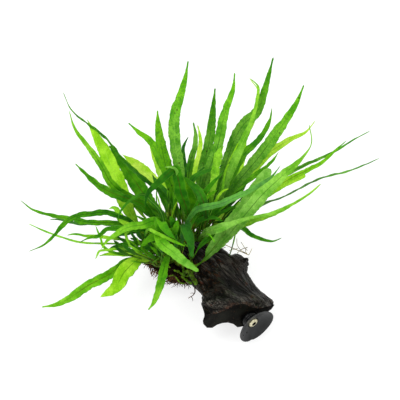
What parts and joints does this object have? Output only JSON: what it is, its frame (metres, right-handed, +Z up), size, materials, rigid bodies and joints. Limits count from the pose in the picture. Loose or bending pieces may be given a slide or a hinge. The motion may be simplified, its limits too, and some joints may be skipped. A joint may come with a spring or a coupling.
{
  "type": "java fern on driftwood",
  "caption": "Clump of narrow green fern leaves on creeping stems over a dark driftwood stump, with a suction cup screwed to the stump's sawn end.",
  "frame": {"origin": "on the resting surface, below the middle of the bounding box", "axes": "+Z up, +X to the right and -Y toward the viewer of the pictured side; the sawn end with the cup faces -Y and +X"},
  "size_m": [0.3228, 0.2414, 0.2001],
  "materials": {
    "wood": "waterlogged, fibrous",
    "rubber": "satin",
    "steel": "plain",
    "stem": "waxy",
    "roots": "matte felt",
    "leaf": "satin, leathery"
  },
  "bodies": {
    "root": {"driftwood": "wood", "suction_cup": "rubber", "screw": "steel", "rhizome_1": "stem", "rhizome_2": "stem", "rhizome_3": "stem", "root_mat": "roots", "leaf_01": "leaf", "leaf_02": "leaf", "leaf_03": "leaf", "leaf_04": "leaf", "leaf_05": "leaf", "leaf_06": "leaf", "leaf_07": "leaf", "leaf_08": "leaf", "leaf_09": "leaf", "leaf_10": "leaf", "leaf_11": "leaf", "leaf_12": "leaf", "leaf_13": "leaf", "leaf_14": "leaf", "leaf_15": "leaf", "leaf_16": "leaf", "leaf_17": "leaf", "leaf_18": "leaf", "leaf_19": "leaf", "leaf_20": "leaf", "leaf_21": "leaf", "leaf_22": "leaf", "leaf_23": "leaf", "leaf_24": "leaf", "leaf_25": "leaf", "leaf_26": "leaf", "leaf_27": "leaf", "leaf_28": "leaf", "leaf_29": "leaf", "leaf_30": "leaf", "leaf_31": "leaf", "leaf_32": "leaf", "leaf_33": "leaf", "leaf_34": "leaf", "leaf_35": "leaf", "leaf_36": "leaf", "leaf_37": "leaf", "leaf_38": "leaf", "leaf_39": "leaf", "leaf_40": "leaf", "leaf_41": "leaf", "leaf_42": "leaf", "leaf_43": "leaf", "leaf_44": "leaf", "leaf_45": "leaf", "leaf_46": "leaf", "leaf_47": "leaf", "leaf_48": "leaf", "leaf_49": "leaf", "leaf_50": "leaf", "leaf_51": "leaf", "leaf_52": "leaf", "leaf_53": "leaf"}
  },
  "joints": []
}
